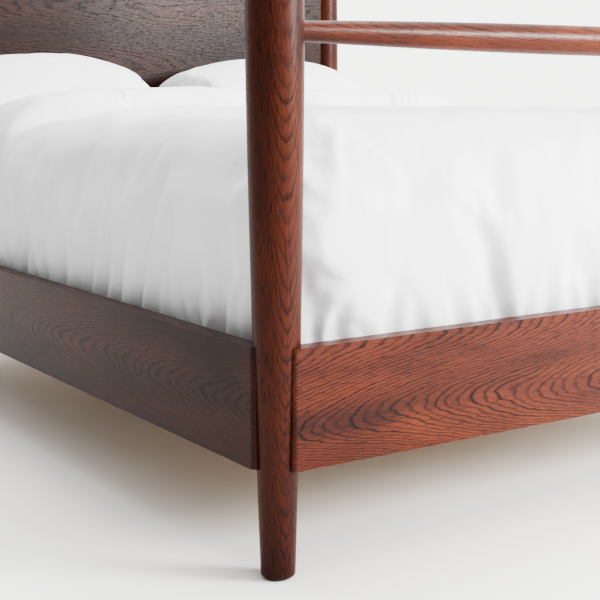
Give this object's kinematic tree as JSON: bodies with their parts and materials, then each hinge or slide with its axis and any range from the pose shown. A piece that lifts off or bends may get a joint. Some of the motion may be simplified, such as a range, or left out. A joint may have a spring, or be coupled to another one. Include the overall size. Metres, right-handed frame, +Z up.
{
  "type": "four poster canopy bed",
  "caption": "Bed with tapered round posts joined at the top by a canopy frame, a round rail over the foot, a plain panel headboard, a slat deck and white bedding.",
  "frame": {"origin": "on the floor under the middle of the bed", "axes": "+Z up, +Y towards the headboard, +X to the right as seen from the foot"},
  "size_m": [1.6382, 2.1932, 2.03],
  "materials": {
    "stained_oak": "satin lacquer over a red-brown stain, grain open",
    "pine": "planed, unfinished",
    "zinc_plated_steel": "zinc plated",
    "black_plastic": "moulded, matt",
    "mattress_ticking": "knitted ticking",
    "bed_linen": "plain woven cotton, washed"
  },
  "bodies": {
    "bed_frame": {"beam_hanger_foot": "zinc_plated_steel", "beam_hanger_head": "zinc_plated_steel", "canopy_rail_foot": "stained_oak", "canopy_rail_head": "stained_oak", "canopy_rail_left": "stained_oak", "canopy_rail_right": "stained_oak", "centre_beam": "pine", "centre_leg_front": "pine", "centre_leg_rear": "pine", "foot_rail": "stained_oak", "footboard_top_rail": "stained_oak", "glide_foot_left": "black_plastic", "glide_foot_right": "black_plastic", "glide_head_left": "black_plastic", "glide_head_right": "black_plastic", "head_rail": "stained_oak", "headboard_panel": "stained_oak", "hook_plate_foot_left": "zinc_plated_steel", "hook_plate_foot_right": "zinc_plated_steel", "hook_plate_head_left": "zinc_plated_steel", "hook_plate_head_right": "zinc_plated_steel", "ledger_left": "pine", "ledger_right": "pine", "post_foot_left": "stained_oak", "post_foot_right": "stained_oak", "post_head_left": "stained_oak", "post_head_right": "stained_oak", "side_rail_left": "stained_oak", "side_rail_right": "stained_oak", "slat_01": "pine", "slat_02": "pine", "slat_03": "pine", "slat_04": "pine", "slat_05": "pine", "slat_06": "pine", "slat_07": "pine", "slat_08": "pine", "slat_09": "pine", "slat_10": "pine", "slat_11": "pine", "slat_12": "pine", "slat_13": "pine", "slat_14": "pine", "slot_plate_foot_left": "zinc_plated_steel", "slot_plate_foot_right": "zinc_plated_steel", "slot_plate_head_left": "zinc_plated_steel", "slot_plate_head_right": "zinc_plated_steel", "threaded_insert_front": "zinc_plated_steel", "threaded_insert_rear": "zinc_plated_steel"},
    "bedding": {"mattress": "mattress_ticking", "duvet": "bed_linen"},
    "pillow_left": {"pillow_left": "bed_linen"},
    "pillow_right": {"pillow_right": "bed_linen"},
    "levelling_foot_front": {"levelling_foot_front": "black_plastic"},
    "levelling_foot_rear": {"levelling_foot_rear": "black_plastic"}
  },
  "joints": [
    {"name": "bedding_lift", "type": "slide", "parent": "bed_frame", "child": "bedding", "axis": [0, 0, 1], "range_m": [0, 0.16]},
    {"name": "pillow_left_lift", "type": "slide", "parent": "bedding", "child": "pillow_left", "axis": [0, 0, 1], "range_m": [0, 0.3]},
    {"name": "pillow_right_lift", "type": "slide", "parent": "bedding", "child": "pillow_right", "axis": [0, 0, 1], "range_m": [0, 0.3]},
    {"name": "levelling_screw_front", "type": "slide", "parent": "bed_frame", "child": "levelling_foot_front", "axis": [0, 0, -1], "range_m": [-0.008, 0.01]},
    {"name": "levelling_screw_rear", "type": "slide", "parent": "bed_frame", "child": "levelling_foot_rear", "axis": [0, 0, -1], "range_m": [-0.008, 0.01]}
  ]
}
